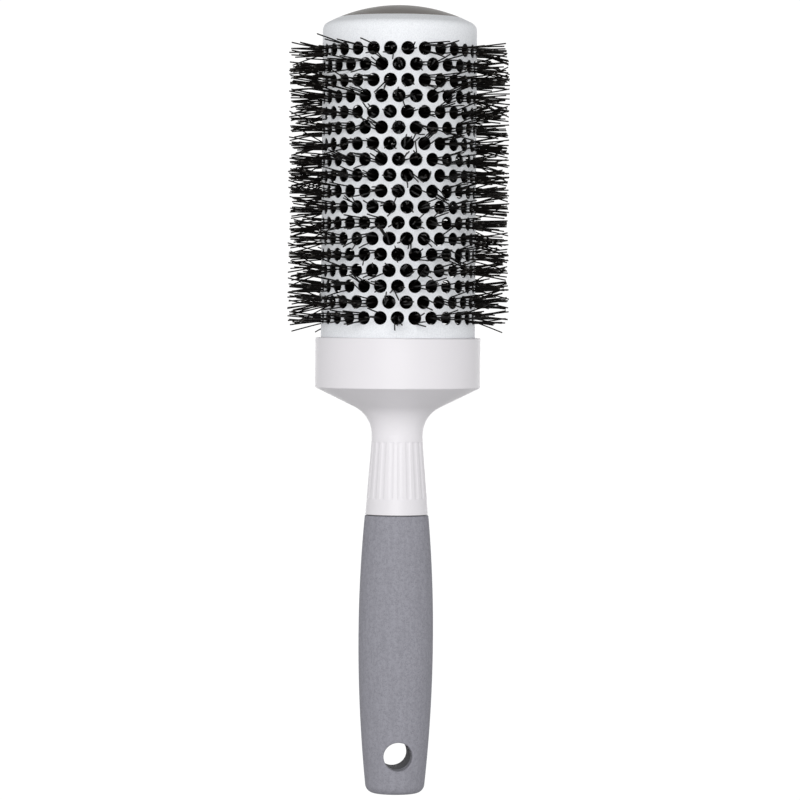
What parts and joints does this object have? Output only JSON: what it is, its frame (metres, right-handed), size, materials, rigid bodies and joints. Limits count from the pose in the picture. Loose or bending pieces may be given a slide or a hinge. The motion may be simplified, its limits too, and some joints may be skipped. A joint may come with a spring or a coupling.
{
  "type": "round barrel brush",
  "caption": "Hairdressing round brush: perforated coated barrel with bristles on a twisted wire, white collared handle and soft grip with a hang hole.",
  "frame": {"origin": "centre of the hang hole in the end of the grip", "axes": "+Z along the brush from the hang hole towards the head, the hang hole runs along Y, +X completes the frame"},
  "size_m": [0.0762, 0.0762, 0.2712],
  "materials": {
    "handle_white": "satin moulded plastic",
    "grip_grey": "matte soft-touch elastomer",
    "ferrule_steel": "drawn tube",
    "wire_steel": "bright drawn wire",
    "disc_plastic": "plain moulded plastic",
    "dome_grey": "satin moulded plastic",
    "barrel_coating": "fine ceramic coating",
    "bristle_nylon": "drawn nylon filament"
  },
  "bodies": {
    "root": {"handle": "handle_white", "grip": "grip_grey", "wire_ferrule": "ferrule_steel", "core_wire_a": "wire_steel", "core_wire_b": "wire_steel", "base_disc": "disc_plastic", "tip_disc": "disc_plastic", "end_dome": "dome_grey", "barrel": "barrel_coating", "bristle_row_01": "bristle_nylon", "bristle_row_02": "bristle_nylon", "bristle_row_03": "bristle_nylon", "bristle_row_04": "bristle_nylon", "bristle_row_05": "bristle_nylon", "bristle_row_06": "bristle_nylon", "bristle_row_07": "bristle_nylon", "bristle_row_08": "bristle_nylon", "bristle_row_09": "bristle_nylon", "bristle_row_10": "bristle_nylon", "bristle_row_11": "bristle_nylon", "bristle_row_12": "bristle_nylon", "bristle_row_13": "bristle_nylon", "bristle_row_14": "bristle_nylon", "bristle_row_15": "bristle_nylon", "bristle_row_16": "bristle_nylon", "bristle_row_17": "bristle_nylon", "bristle_row_18": "bristle_nylon"}
  },
  "joints": []
}
